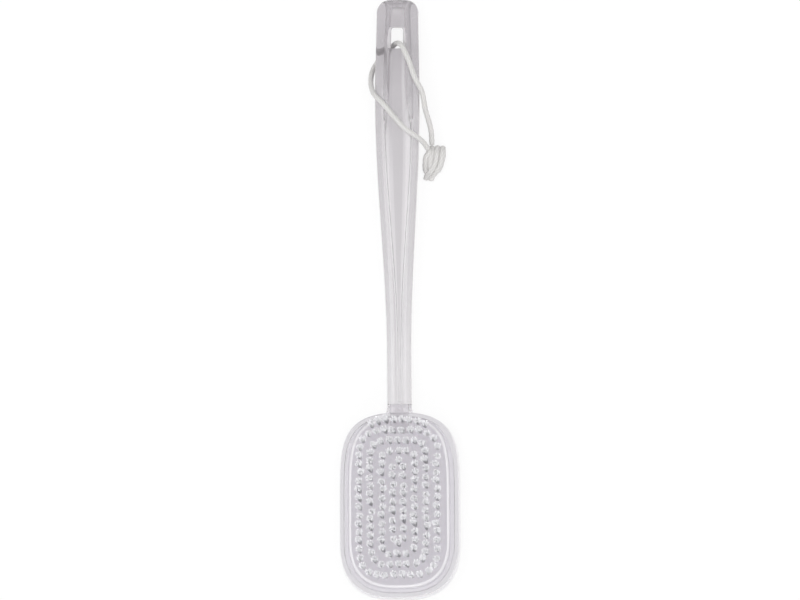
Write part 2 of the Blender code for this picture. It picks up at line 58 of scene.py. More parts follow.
level_up = (Vector((0, 1, 0)) - towards_camera * towards_camera.y).normalized()
level_right = level_up.cross(towards_camera)
image_right = (level_right - roll * level_up).normalized()
image_up = towards_camera.cross(image_right)
lens = bpy.data.cameras.new("camera")
lens.sensor_width = 36
lens.lens = lens.sensor_width * camera_distance / frame_width
lens.clip_end = 30
camera = bpy.data.objects.new("camera", lens)
axes = Matrix((image_right, image_up, towards_camera)).transposed()
camera.matrix_world = Matrix.Translation(aim + towards_camera * camera_distance) @ axes.to_4x4()
bpy.context.scene.collection.objects.link(camera)
bpy.context.scene.camera = camera
bpy.context.scene.view_settings.view_transform = "Standard"


def add_lamp(name, place, side, power):
    """A square soft lamp of a given side and power in watts, turned to the middle of the brush."""
    data = bpy.data.lights.new(name, "AREA")
    data.size = side
    data.energy = power
    lamp = bpy.data.objects.new(name, data)
    lamp.location = place
    lamp.rotation_euler = (-Vector(place)).to_track_quat("-Z", "Y").to_euler()
    bpy.context.scene.collection.objects.link(lamp)


add_lamp("left_lamp", (-1.1, 0.1, 1.8), 1.1, 7.6)
add_lamp("right_lamp", (0.85, 0.1, 1.9), 0.9, 5.0)
add_lamp("end_lamp", (0.1, -1.6, 1.2), 0.8, 8.5)


def seen_or_lit(tree, seen, lit):
    """Mixes two shaders by the kind of ray: one for what is seen, mirrored or seen through clear
    plastic, and one for the light that it throws."""
    rays = tree.nodes.new("ShaderNodeLightPath")
    either = tree.nodes.new("ShaderNodeMath")
    either.operation = "MAXIMUM"
    tree.links.new(rays.outputs["Is Camera Ray"], either.inputs[0])
    tree.links.new(rays.outputs["Is Glossy Ray"], either.inputs[1])
    any_of = tree.nodes.new("ShaderNodeMath")
    any_of.operation = "MAXIMUM"
    tree.links.new(either.outputs[0], any_of.inputs[0])
    tree.links.new(rays.outputs["Is Transmission Ray"], any_of.inputs[1])
    mix = tree.nodes.new("ShaderNodeMixShader")
    tree.links.new(any_of.outputs[0], mix.inputs["Fac"])
    tree.links.new(lit, mix.inputs[1])
    tree.links.new(seen, mix.inputs[2])
    return mix.outputs[0]


studio = bpy.data.worlds.new("studio")
bpy.context.scene.world = studio
studio.use_nodes = True
tree = studio.node_tree
tree.nodes.clear()
direction = tree.nodes.new("ShaderNodeTexCoord")
split = tree.nodes.new("ShaderNodeSeparateXYZ")
tree.links.new(direction.outputs["Generated"], split.inputs[0])
sideways = tree.nodes.new("ShaderNodeMapRange")
sideways.inputs["From Min"].default_value = -1
tree.links.new(split.outputs["X"], sideways.inputs["Value"])
shade = tree.nodes.new("ShaderNodeValToRGB")
shade.color_ramp.elements[0].position = 0.05
shade.color_ramp.elements[0].color = (0.45, 0.45, 0.45, 1)
shade.color_ramp.elements[1].position = 0.95
shade.color_ramp.elements[1].color = (0.70, 0.70, 0.70, 1)
for turned, level in ((0.20, 0.40), (0.425, 0.25), (0.575, 0.25), (0.80, 0.55)):
    shade.color_ramp.elements.new(turned).color = (level, level, level, 1)
tree.links.new(sideways.outputs["Result"], shade.inputs[0])
backdrop = tree.nodes.new("ShaderNodeBackground")
backdrop.inputs["Strength"].default_value = 1.6
above_horizon = tree.nodes.new("ShaderNodeMapRange")
above_horizon.inputs["From Min"].default_value = 0.05
above_horizon.inputs["From Max"].default_value = 0.50
tree.links.new(split.outputs["Z"], above_horizon.inputs["Value"])
walls = tree.nodes.new("ShaderNodeMixRGB")
walls.inputs["Color1"].default_value = (0.6, 0.6, 0.6, 1)
tree.links.new(above_horizon.outputs["Result"], walls.inputs["Fac"])
tree.links.new(shade.outputs[0], walls.inputs["Color2"])
tree.links.new(walls.outputs[0], backdrop.inputs["Color"])
dome = tree.nodes.new("ShaderNodeBackground")
dome.inputs["Color"].default_value = (1, 1, 1, 1)
overhead = tree.nodes.new("ShaderNodeMath")
overhead.operation = "POWER"
overhead.use_clamp = True
overhead.inputs[1].default_value = 8
tree.links.new(split.outputs["Z"], overhead.inputs[0])
strength = tree.nodes.new("ShaderNodeMapRange")
strength.inputs["To Min"].default_value = 0.45
strength.inputs["To Max"].default_value = 2.3
tree.links.new(overhead.outputs[0], strength.inputs["Value"])
tree.links.new(strength.outputs["Result"], dome.inputs["Strength"])
world_out = tree.nodes.new("ShaderNodeOutputWorld")
tree.links.new(seen_or_lit(tree, backdrop.outputs[0], dome.outputs[0]), world_out.inputs[0])

table_size = 12
table_drop = 0.0002
table_mesh = bpy.data.meshes.new("table")
half = table_size / 2
table_corners = [
    (x, y, -table_drop) for x, y in ((-half, -half), (half, -half), (half, half), (-half, half))
]
table_mesh.from_pydata(table_corners, [], [(0, 1, 2, 3)])
table = bpy.data.objects.new("table", table_mesh)
bpy.context.scene.collection.objects.link(table)
table_paint = bpy.data.materials.new("table")
table_paint.use_nodes = True
tree = table_paint.node_tree
tree.nodes.clear()
matt = tree.nodes.new("ShaderNodeBsdfDiffuse")
matt.inputs["Color"].default_value = (0.95, 0.95, 0.95, 1)
glow = tree.nodes.new("ShaderNodeEmission")
glow.inputs["Color"].default_value = (1, 1, 1, 1)
bright = tree.nodes.new("ShaderNodeMixShader")
bright.inputs["Fac"].default_value = 0.88
tree.links.new(matt.outputs[0], bright.inputs[1])
tree.links.new(glow.outputs[0], bright.inputs[2])
table_out = tree.nodes.new("ShaderNodeOutputMaterial")
tree.links.new(seen_or_lit(tree, bright.outputs[0], matt.outputs[0]), table_out.inputs[0])
table_mesh.materials.append(table_paint)

# ---- Head shell
# The clear moulding that makes the back and the sides of the head. It is hollow, with a ledge
# inside its mouth for the plate, and its square collar holds the handle's tongue.

half_length = 0.195
head_width = 0.078
head_neck_reach = 0.0822
head_far_reach = 0.0393
neck_end_powers = (2.5, 6.4)
far_end_powers = (2.7, 2.6)
widest_y = head_far_reach - half_length
head_end_y = widest_y + head_neck_reach
collar_length = 0.0047
joint_y = head_end_y + collar_length
head_height = 0.0125
back_round = 0.0022
rim_lean = 0.0008
rim_round = 0.0005
rim_wall = 0.0035
ledge_width = 0.0012
ledge_z = 0.0096
floor_thickness = 0.0025
floor_round = 0.0030
fit_gap = 0.0003
neck_width = 0.0157
neck_height = 0.0100
neck_back = 0.0010
collar_flare = 0.0007
collar_flare_share = 0.45
front_power = 2.6
back_power = 4.5
tongue_width = 0.0110
tongue_height = 0.0060
tongue_length = 0.0180
tongue_z = neck_back + (neck_height - tongue_height) / 2
guide_height = 0.0045
socket_end_wall = 0.0020
outline_points = 288
fine_outline_points = 40001
back_round_steps = 14
edge_steps = 5
section_points = 96
sharp_degrees = 30
wall_part, rim_part, socket_part, back_part = range(4)
clear_tint = (0.88, 0.863, 0.895)
joint_tint = (0.98, 0.97, 0.98)


def signed_power(value, power):
    """The value's size raised to a power, with its sign kept."""
    return np.sign(value) * np.abs(value) ** power


def egg_outline(turns, half_width, neck_reach, far_reach):
    """Points of the head's egg shape: x is the half width times the cosine to the power 2/p, and y
    is the reach of its end times the sine to the power 2/q, with p and q of the neck end or the far
    end."""
    across, along = np.cos(turns), np.sin(turns)
    to_neck = along > 0
    p = np.where(to_neck, neck_end_powers[0], far_end_powers[0])
    q = np.where(to_neck, neck_end_powers[1], far_end_powers[1])
    reach = np.where(to_neck, neck_reach, far_reach)
    x, y = half_width * signed_power(across, 2 / p), reach * signed_power(along, 2 / q)
    return np.stack([x, y], 1)


def even_turns(count):
    """Turns whose points lie evenly round the head's outline: the length round a fine outline is
    divided by count."""
    fine = np.linspace(0, 2 * np.pi, fine_outline_points)
    points = egg_outline(fine, head_width / 2, head_neck_reach, head_far_reach)
    run = np.concatenate([[0], np.cumsum(np.linalg.norm(np.diff(points, axis=0), axis=1))])
    return np.interp(np.arange(count) * run[-1] / count, run, fine)


def quarter_turns(count):
    """Even turns over a quarter circle, both ends with them."""
    return np.linspace(0, np.pi / 2, count + 1)


def rings_at(outline_of, profile):
    """Stacks one ring for each (inset, height) of a profile: the outline drawn in by the inset, at
    that height."""
    rings = []
    for inset, z in profile:
        outline = outline_of(inset)
        rings.append(np.column_stack([outline, np.full(len(outline), z)]))
    return np.array(rings)


def set_points(mesh, points, faces):
    """Puts a grid of points and its faces into an empty mesh."""
    mesh.from_pydata(points.reshape(-1, 3).tolist(), [], faces)


def skin(name, rings, sharp=sharp_degrees):
    """A closed piece: quads between each ring and the next, and one face over each end ring. Edges
    that turn more than the sharp angle, in degrees, are left sharp."""
    count, around = rings.shape[:2]
    index = np.arange(count * around).reshape(count, around)
    low, high = index[:-1], index[1:]
    quads = np.stack([low, np.roll(low, -1, 1), np.roll(high, -1, 1), high], -1).reshape(-1, 4)
    mesh = bpy.data.meshes.new(name)
    set_points(mesh, rings, quads.tolist() + [index[0, ::-1].tolist(), index[-1].tolist()])
    shape = bmesh.new()
    shape.from_mesh(mesh)
    bmesh.ops.recalc_face_normals(shape, faces=shape.faces)
    shape.to_mesh(mesh)
    shape.free()
    mesh.shade_smooth()
    mesh.set_sharp_from_angle(angle=np.radians(sharp))
    piece = bpy.data.objects.new(name, mesh)
    bpy.context.scene.collection.objects.link(piece)
    return piece


def set_parts(piece, parts):
    """Gives each face of a piece its number in the list of plastics, or all faces one number."""
    numbers = np.broadcast_to(parts, len(piece.data.polygons)).astype(np.int32)
    piece.data.polygons.foreach_set("material_index", numbers)


def cut_or_join(piece, tool, operation, sharp=sharp_degrees):
    """Cuts a tool shape out of a piece, or joins it on, and throws the tool away."""
    step = piece.modifiers.new(tool.name, "BOOLEAN")
    step.operation = operation
    step.solver = "EXACT"
    step.object = tool
    evaluated = piece.evaluated_get(bpy.context.evaluated_depsgraph_get())
    mesh = bpy.data.meshes.new_from_object(evaluated)
    piece.modifiers.clear()
    old, piece.data = piece.data, mesh
    mesh.name = piece.name
    bpy.data.meshes.remove(old)
    bpy.data.objects.remove(tool)
    mesh.shade_smooth()
    mesh.set_sharp_from_angle(angle=np.radians(sharp))


def bar_section(turns, width, height, back_z, y):
    """Ring across the handle: a superellipse of the front's power above its middle and of the
    back's power below."""
    across, up = np.cos(turns), np.sin(turns)
    power = np.where(up > 0, front_power, back_power)
    x = width / 2 * signed_power(across, 2 / power)
    z = back_z + height / 2 * (1 + signed_power(up, 2 / power))
    return np.stack([x, np.full_like(x, y), z], 1)


def box_rings(low, high):
    """Two square rings, at the low and the high Y of a box."""
    corners = [(low[0], low[2]), (high[0], low[2]), (high[0], high[2]), (low[0], high[2])]
    return np.array([[(x, y, z) for x, z in corners] for y in (low[1], high[1])])


def clear_plastic(name, tint, roughness, haze=0.05, bending=1.5, painted_shade_to_tip=()):
    """Clear moulded plastic with a faint lavender tint: polished, with slow waves from the mould
    and fine rubbed marks that run along it. Haze is the milky share that light doesn't pass. Where
    two clear pieces touch, and on the flat back, light passes almost straight on, so there the
    bending (IOR) is near 1. Painted shade to the tip, each colour with its Y, makes the tint darker
    or lighter along the brush: painted shade and light."""
    material = bpy.data.materials.new(name)
    material.use_nodes = True
    tree = material.node_tree
    shader = tree.nodes["Principled BSDF"]
    shader.inputs["Base Color"].default_value = (*tint, 1)
    shader.inputs["Transmission Weight"].default_value = 1 - haze
    shader.inputs["IOR"].default_value = bending
    place = tree.nodes.new("ShaderNodeTexCoord")
    smears = tree.nodes.new("ShaderNodeTexNoise")
    smears.inputs["Scale"].default_value = 55
    smears.inputs["Detail"].default_value = 5
    tree.links.new(place.outputs["Object"], smears.inputs["Vector"])
    polish = tree.nodes.new("ShaderNodeMapRange")
    polish.inputs["To Min"].default_value = roughness * 0.5
    polish.inputs["To Max"].default_value = roughness * 1.5
    tree.links.new(smears.outputs["Fac"], polish.inputs["Value"])
    tree.links.new(polish.outputs["Result"], shader.inputs["Roughness"])
    waves = tree.nodes.new("ShaderNodeTexNoise")
    waves.inputs["Scale"].default_value = 90
    waves.inputs["Detail"].default_value = 2
    tree.links.new(place.outputs["Object"], waves.inputs["Vector"])
    wavy = tree.nodes.new("ShaderNodeBump")
    wavy.inputs["Strength"].default_value = 0.25
    wavy.inputs["Distance"].default_value = 0.0004
    tree.links.new(waves.outputs["Fac"], wavy.inputs["Height"])
    along = tree.nodes.new("ShaderNodeMapping")
    along.inputs["Scale"].default_value = (900, 40, 900)
    tree.links.new(place.outputs["Object"], along.inputs["Vector"])
    marks = tree.nodes.new("ShaderNodeTexNoise")
    marks.inputs["Scale"].default_value = 1
    marks.inputs["Detail"].default_value = 3
    tree.links.new(along.outputs["Vector"], marks.inputs["Vector"])
    rubbed = tree.nodes.new("ShaderNodeBump")
    rubbed.inputs["Strength"].default_value = 0.12
    rubbed.inputs["Distance"].default_value = 0.00005
    tree.links.new(marks.outputs["Fac"], rubbed.inputs["Height"])
    tree.links.new(wavy.outputs["Normal"], rubbed.inputs["Normal"])
    tree.links.new(rubbed.outputs["Normal"], shader.inputs["Normal"])
    # Painted shade and light: a colour ramp by Y makes the tint darker or lighter along the brush.
    if painted_shade_to_tip:
        run = tree.nodes.new("ShaderNodeSeparateXYZ")
        tree.links.new(place.outputs["Object"], run.inputs[0])
        towards_tip = tree.nodes.new("ShaderNodeMapRange")
        towards_tip.inputs["From Min"].default_value = -half_length
        towards_tip.inputs["From Max"].default_value = half_length
        tree.links.new(run.outputs["Y"], towards_tip.inputs["Value"])
        shade_ramp = tree.nodes.new("ShaderNodeValToRGB")
        shade_ramp.color_ramp.elements[0].color = (*tint, 1)
        shade_ramp.color_ramp.elements.remove(shade_ramp.color_ramp.elements[1])
        for y, shade_there in painted_shade_to_tip:
            shade_ramp.color_ramp.elements.new((y / half_length + 1) / 2).color = (*shade_there, 1)
        tree.links.new(towards_tip.outputs["Result"], shade_ramp.inputs[0])
        tree.links.new(shade_ramp.outputs[0], shader.inputs["Base Color"])
    return material


turns_round_head = even_turns(outline_points)


def set_in_outline(half_width, neck_reach, far_reach, inset):
    """An egg outline drawn in by an inset, in its place on the brush."""
    sizes = (half_width - inset, neck_reach - inset, far_reach - inset)
    return egg_outline(turns_round_head, *sizes) + np.array([0, widest_y])


def head_outline(inset):
    """The head's outline drawn in by an inset."""
    return set_in_outline(head_width / 2, head_neck_reach, head_far_reach, inset)


corner = quarter_turns(back_round_steps)
back_profile = np.stack([back_round * (1 - np.sin(corner)), back_round * (1 - np.cos(corner))], 1)
edge = quarter_turns(edge_steps)
rim_profile = np.stack(
    [rim_lean + rim_round * (1 - np.cos(edge)), head_height - rim_round * (1 - np.sin(edge))], 1
)
inner = rim_wall + ledge_width
floor_inset = inner + floor_round * (1 - np.cos(edge))
floor_z = floor_thickness + floor_round * (1 - np.sin(edge))
floor_corner = np.stack([floor_inset, floor_z], 1)
shell_profile = np.concatenate(
    [
        back_profile,
        [(rim_lean / 2, (back_round + head_height) / 2)],
        rim_profile,
        [(rim_wall - rim_round / 2, head_height), (rim_wall, head_height - rim_round / 2)],
        [(rim_wall, ledge_z), (inner, ledge_z)],
        floor_corner,
    ]
)
shell = skin("shell", rings_at(head_outline, shell_profile))
side_parts = np.full((len(shell_profile) - 1, len(turns_round_head)), wall_part)
# The rim's round and top take painted shade.
side_parts[len(back_profile) + 1:len(back_profile) + len(rim_profile) + 2] = rim_part
set_parts(shell, np.append(side_parts, [back_part, wall_part]))
# The flat back hardly bends light, so that light isn't caught inside the shell's floor.
for plastic in (
    clear_plastic("shell_plastic", clear_tint, 0.06),
    # The rim's round and top are tinted darker than the shell: painted shade.
    clear_plastic("rim_painted_shade", (0.75, 0.735, 0.765), 0.06),
    clear_plastic("socket_plastic", joint_tint, 0.25, haze=0.08, bending=1.1),
    clear_plastic("back_plastic", clear_tint, 0.06, bending=1.08),
):
    shell.data.materials.append(plastic)

in_wall_y = head_end_y - rim_wall / 2
section_turns = np.linspace(0, 2 * np.pi, section_points, endpoint=False)
flare_end_y = head_end_y + collar_length * collar_flare_share
collar_rings = [
    bar_section(section_turns, width, neck_height, neck_back, y)
    for width, y in (
        (neck_width + 2 * collar_flare, in_wall_y),
        (neck_width + 2 * collar_flare, head_end_y),
        (neck_width + collar_flare / 2, flare_end_y),
        (neck_width, joint_y - fit_gap),
    )
]
end_width, end_height = neck_width - fit_gap, neck_height - fit_gap
end_back = neck_back + fit_gap / 2
collar_rings.append(bar_section(section_turns, end_width, end_height, end_back, joint_y))
cut_or_join(shell, skin("collar", np.array(collar_rings)), "UNION")
socket_end_y = joint_y - tongue_length - fit_gap
guide_low = (-neck_width / 2, socket_end_y - socket_end_wall, floor_thickness / 2)
guide_high = (neck_width / 2, in_wall_y, tongue_z + guide_height)
guide = skin("guide", box_rings(guide_low, guide_high))
set_parts(guide, socket_part)
cut_or_join(shell, guide, "UNION")
socket_half = tongue_width / 2 + fit_gap
socket_low = (-socket_half, socket_end_y, tongue_z - fit_gap)
socket_high = (socket_half, joint_y + collar_length, tongue_z + tongue_height + fit_gap)
socket = skin("socket", box_rings(socket_low, socket_high))
set_parts(socket, socket_part)
cut_or_join(shell, socket, "DIFFERENCE")
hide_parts("head_shell")
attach(shell, "head")

# ---- Bristle plate
# The clear plate welded into the shell's mouth. Its flange fills the mouth with a fine seam round
# it, and the raised pad in the middle takes the tufts.

pad_side_inset = 0.0073
pad_neck_inset = 0.0049
pad_far_inset = 0.0075
pad_height = 0.0025
pad_z = head_height + pad_height
pad_edge = 0.0017
pad_half_width = head_width / 2 - pad_side_inset
pad_neck_reach = head_neck_reach - pad_neck_inset
pad_far_reach = head_far_reach - pad_far_inset


def pad_outline(inset):
    """The pad's outline drawn in by an inset."""
    return set_in_outline(pad_half_width, pad_neck_reach, pad_far_reach, inset)


flange_inset = rim_wall + fit_gap
flange = rings_at(
    head_outline,
    [
        (flange_inset, ledge_z + fit_gap),
        (flange_inset, head_height - fit_gap),
        (flange_inset + fit_gap, head_height),
    ],
)
pad_foot = np.stack(
    [pad_edge * (np.sin(edge) / 2 - 1), head_height + pad_edge / 2 * (1 - np.cos(edge))], 1
)
pad_top = np.stack(
    [pad_edge * (1 - np.cos(edge)) - pad_edge / 2, pad_z - pad_edge * (1 - np.sin(edge))], 1
)
pad = rings_at(pad_outline, np.concatenate([pad_foot, pad_top]))
plate = skin("plate", np.concatenate([flange, pad]))
# The pad's rounded edge and the flange's top, between the seam and the pad, are milky and lighter
# than the plate: painted highlights.
for plastic in (
    clear_plastic("plate_plastic", (0.835, 0.819, 0.851), 0.06),
    clear_plastic("pad_edge_painted_highlight", (0.97, 0.96, 0.98), 0.15, haze=0.45),
    clear_plastic("flange_painted_highlight", (0.93, 0.915, 0.945), 0.12, haze=0.25),
):
    plate.data.materials.append(plastic)
# Painted highlights go on the pad's rounded edge and on the flange's top next to the seam.
flat_part, lit_pad_edge_part, lit_flange_part = range(3)
plate_parts = np.full((len(flange) + len(pad) - 1, len(turns_round_head)), flat_part)
plate_parts[len(flange) + len(pad_foot) - 2:] = lit_pad_edge_part
plate_parts[len(flange) - 1] = lit_flange_part
set_parts(plate, np.append(plate_parts, [flat_part, flat_part]))
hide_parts("bristle_plate")
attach(plate, "head")

# ---- Tufts
# White nylon bristles, folded and stapled in round holes in the pad, in four closed loops and a
# part row at the neck end. Each tuft fans out from its hole, and use has bent it a little.

first_loop_half_width = 0.0034
first_loop_corner = 0.0030
loop_side_inset = 0.0067
loop_far_inset = 0.0066
loop_step_along = 0.0067
loop_step_corner = 0.0033
loop_count = 4
tuft_pitch = 0.0055
row_tufts = 8
row_share_of_pad = 0.552
row_inset = 0.0020
row_to_loop = 0.0069
bristle_length = 0.015
bristles_a_tuft = 60
bristle_radius = 0.00016
bristle_height_shares = np.array([0.0, 0.3, 0.65, 0.86, 1.0])
bristle_radius_shares = np.array([0.85, 0.85, 0.85, 0.95, 1.7])
bristle_sides = 4
golden_turn = np.pi * (3 - np.sqrt(5))
turn_wander = 0.25
out_wander = (0.93, 1.07)
place_wander = 0.00018
length_wander = 0.05
edge_shortening = 0.03
hole_radius = 0.00095
hole_depth = 0.0042
foot_radius_shares = np.array([0.7, 1.0, 1.0, 0.85])
foot_sides = 10
root_share = 0.85
fan_radius = 0.00215
fan_power = 0.8
tuft_lean = 0.0008
most_leans = 2
tuft_split = 0.00028
tuft_sharp_degrees = 50
loop_seed = 11
row_seed = 29
loop_corner_points = 200
fine_row_points = 4001


def loop_places(number):
    """Tufts round a rounded rectangle, evenly spaced by the length round it, from the middle of its
    +X side."""
    inward = loop_count - 1 - number
    outer = pad_half_width - loop_side_inset
    half_x = outer - inward * (outer - first_loop_half_width) / (loop_count - 1)
    neck_y = widest_y + pad_neck_reach - row_inset - row_to_loop
    far_y = widest_y - pad_far_reach + loop_far_inset
    half_y = (neck_y - far_y) / 2 - inward * loop_step_along
    radius = first_loop_corner + number * loop_step_corner
    arc = np.linspace(0, np.pi / 2, loop_corner_points)
    corners = []
    for quarter, (side_x, side_y) in enumerate(((1, 1), (-1, 1), (-1, -1), (1, -1))):
        turn = arc + np.pi / 2 * quarter
        x = side_x * (half_x - radius) + radius * np.cos(turn)
        y = side_y * (half_y - radius) + radius * np.sin(turn)
        corners.append(np.stack([x, y], 1))
    outline = np.concatenate([[(half_x, 0)], *corners, [(half_x, 0)]])
    run = np.concatenate([[0], np.cumsum(np.linalg.norm(np.diff(outline, axis=0), axis=1))])
    count = 2 * round(run[-1] / tuft_pitch / 2)
    wanted = (np.arange(count) + number % 2 / 2) * run[-1] / count
    middle = (neck_y + far_y) / 2
    x, y = np.interp(wanted, run, outline[:, 0]), np.interp(wanted, run, outline[:, 1])
    return np.stack([x, middle + y], 1)


def row_places():
    """Tufts along the neck end of the pad's outline, set in from it, even about the middle."""
    fine = np.linspace(0, np.pi, fine_row_points)
    half_width, neck_reach = pad_half_width - row_inset, pad_neck_reach - row_inset
    outline = egg_outline(fine, half_width, neck_reach, pad_far_reach)
    run = np.concatenate([[0], np.cumsum(np.linalg.norm(np.diff(outline, axis=0), axis=1))])
    wanted = run[-1] / 2 + row_share_of_pad * pad_half_width * np.linspace(-1, 1, row_tufts)
    x, y = np.interp(wanted, run, outline[:, 0]), np.interp(wanted, run, outline[:, 1])
    return np.stack([x, widest_y + y], 1)


def tapered_rods(centres, radii, sides, turn):
    """Rods of a few sides through rows of centres, given as (rods, rings, 3), with radii given as
    (rods, rings). Each ring is level: its corners are its centre plus its radius times the cosine
    and sine of their turns."""
    rods, rings = radii.shape
    around = turn[:, None, None] + 2 * np.pi * np.arange(sides) / sides
    flat = np.stack([np.cos(around), np.sin(around), np.zeros_like(around)], -1)
    points = centres[:, :, None, :] + radii[:, :, None, None] * flat
    index = np.arange(rods * rings * sides).reshape(rods, rings, sides)
    low, high = index[:, :-1], index[:, 1:]
    walls = np.stack([low, np.roll(low, -1, 2), np.roll(high, -1, 2), high], -1).reshape(-1, 4)
    ends = np.concatenate([index[:, 0, ::-1], index[:, -1]])
    return points.reshape(-1, 3), walls, ends


def make_tufts(name, places, seed):
    """One piece of tufts. Bristle n of N stands at the square root of n/N of the tuft's radius, a
    golden turn on from the last. It fans out with its height and bends with its height's square as
    its tuft leans. The tuft's two halves, folded over one staple, part a little to +X and -X."""
    random = np.random.default_rng(seed)
    count = len(places)
    shape = (count, bristles_a_tuft)
    place = np.arange(bristles_a_tuft) + 0.5
    turn = place * golden_turn + random.normal(0, turn_wander, shape)
    turn = turn + random.uniform(0, 2 * np.pi, (count, 1))
    out = np.sqrt(place / bristles_a_tuft) * random.uniform(*out_wander, shape)
    lean_turn = random.uniform(0, 2 * np.pi, (count, 1))
    lean = tuft_lean * np.abs(random.normal(0, 1, (count, 1))).clip(0, most_leans)
    wander = random.normal(0, place_wander, (*shape, 2))
    wander[..., 0] += tuft_split * out * np.sign(np.cos(turn))
    top = bristle_length * (1 - random.uniform(0, length_wander, shape) - edge_shortening * out**2)
    heights = bristle_height_shares
    spread = hole_radius * root_share + (fan_radius - hole_radius) * heights**fan_power
    radial = np.stack([np.cos(turn), np.sin(turn)], -1) * out[..., None]
    bend = np.stack([np.cos(lean_turn), np.sin(lean_turn)], -1) * lean[..., None]
    flat = (
        places[:, None, None, :]
        + radial[:, :, None, :] * spread[None, None, :, None]
        + bend[:, :, None, :] * heights[None, None, :, None] ** 2
        + wander[:, :, None, :] * heights[None, None, :, None]
    )
    z = pad_z - fit_gap + top[..., None] * heights
    centres = np.concatenate([flat, z[..., None]], -1).reshape(-1, len(heights), 3)
    radii = np.broadcast_to(bristle_radius * bristle_radius_shares, centres.shape[:2])
    bristle_points, bristle_walls, bristle_ends = tapered_rods(
        centres, radii, bristle_sides, turn.reshape(-1)
    )

    hole_foot = pad_z - hole_depth
    foot_heights = np.array([hole_foot, hole_foot + fit_gap, pad_z, pad_z + fit_gap])
    foot_rings = len(foot_heights)
    foot_z = np.broadcast_to(foot_heights[None, :, None], (count, foot_rings, 1))
    foot_centres = np.concatenate([np.repeat(places[:, None, :], foot_rings, 1), foot_z], -1)
    foot_radii = np.broadcast_to(hole_radius * foot_radius_shares, (count, foot_rings))
    foot_points, foot_walls, foot_ends = tapered_rods(
        foot_centres, foot_radii, foot_sides, np.zeros(count)
    )

    shift = len(bristle_points)
    faces = bristle_walls.tolist() + bristle_ends.tolist()
    faces += (foot_walls + shift).tolist() + (foot_ends + shift).tolist()
    mesh = bpy.data.meshes.new(name)
    set_points(mesh, np.concatenate([bristle_points, foot_points]), faces)
    bristle_tones = np.repeat(random.uniform(0, 1, len(centres)), len(heights) * bristle_sides)
    tone = np.concatenate([bristle_tones, np.full(len(foot_points), 0.5)]).astype(np.float32)
    mesh.attributes.new("tone", "FLOAT", "POINT").data.foreach_set("value", tone)
    mesh.shade_smooth()
    mesh.set_sharp_from_angle(angle=np.radians(tuft_sharp_degrees))
    piece = bpy.data.objects.new(name, mesh)
    bpy.context.scene.collection.objects.link(piece)
    return piece


# Each bristle has its own tone of white, and fine marks along the nylon vary its gloss.
nylon = bpy.data.materials.new("white_nylon")
nylon.use_nodes = True
tree = nylon.node_tree
shader = tree.nodes["Principled BSDF"]
shader.inputs["IOR"].default_value = 1.53
own_tone = tree.nodes.new("ShaderNodeAttribute")
own_tone.attribute_name = "tone"
whites = tree.nodes.new("ShaderNodeValToRGB")
whites.color_ramp.elements[0].color = (0.91, 0.90, 0.935, 1)
whites.color_ramp.elements[1].color = (0.985, 0.985, 1, 1)
tree.links.new(own_tone.outputs["Fac"], whites.inputs[0])
tree.links.new(whites.outputs[0], shader.inputs["Base Color"])
place = tree.nodes.new("ShaderNodeTexCoord")
draw_marks = tree.nodes.new("ShaderNodeTexNoise")
draw_marks.inputs["Scale"].default_value = 2500
draw_marks.inputs["Detail"].default_value = 2
tree.links.new(place.outputs["Object"], draw_marks.inputs["Vector"])
gloss = tree.nodes.new("ShaderNodeMapRange")
gloss.inputs["To Min"].default_value = 0.30
gloss.inputs["To Max"].default_value = 0.42
tree.links.new(draw_marks.outputs["Fac"], gloss.inputs["Value"])
tree.links.new(gloss.outputs["Result"], shader.inputs["Roughness"])

groups = [
    (f"tufts_{number + 1}", f"bristle_loop_{number + 1}", loop_places(number), loop_seed + number)
    for number in range(loop_count)
]
groups.append(("tufts_at_neck", "bristle_row", row_places(), row_seed))
for name, node, places, seed in groups:
    tufts = make_tufts(name, places, seed)
    tufts.data.materials.append(nylon)
    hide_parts(node)
    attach(tufts, "head")

# ---- Handle
# One clear moulding: a crowned bar that bows up from the neck and comes down again to its tip. The
# channel in its back is deep under the grip, then shallow and narrower towards the neck. Its front
# has the hang slot, and its tongue plugs into the collar.

tip_y = half_length
tip_width = 0.0268
grip_width = 0.0288
grip_from_tip = 0.066
neck_from_tip = 0.232
tip_height = 0.0125
grip_height = 0.0150
tip_corner = 0.0085
tip_front_round = 0.0030
tip_back_round = 0.0010
tip_fall_slope = 0.158
side_wall = 0.0067
end_wall = 0.0025
front_skin = 0.0035
channel_round = 0.0036
channel_round_share = 0.55
channel_ramp = 0.0065
channel_deep_to = 0.055
channel_shallow_from = 0.092
channel_shallow_share = 0.13
channel_draft = 0.0003
channel_slope = 0.0009
channel_least_width = 0.0016
channel_least_roof_share = 0.7
channel_round_depth_share = 0.9
channel_end_share = 0.02
slot_from_tip = 0.0190
slot_length = 0.0143
slot_width = 0.0122
slot_back_width = 0.0076
slot_corner = 0.0020
tongue_chamfer = 0.0008
front_steps = 97
roof_steps = 10
fillet_steps = 10
wall_steps = 5
tip_steps = 14
channel_rings = 150
slot_corner_steps = 7
nearly_nothing = 1e-9
handle_sharp_degrees = 35


def eased(start, end, share):
    """Half a cosine wave from start to end."""
    return start + (end - start) * (1 - np.cos(np.pi * np.clip(share, 0, 1))) / 2


def along_handle(at_tip, at_grip, at_neck, from_tip):
    """A size that eases from the tip to the grip and on to the neck."""
    to_grip = eased(at_tip, at_grip, from_tip / grip_from_tip)
    to_neck = eased(at_grip, at_neck, (from_tip - grip_from_tip) / (neck_from_tip - grip_from_tip))
    return np.where(from_tip < grip_from_tip, to_grip, to_neck)


def handle_width(from_tip):
    """Width of the handle at a distance from its tip."""
    return along_handle(tip_width, grip_width, neck_width, from_tip)


def handle_height(from_tip):
    """Thickness of the handle at a distance from its tip."""
    return along_handle(tip_height, grip_height, neck_height, from_tip)


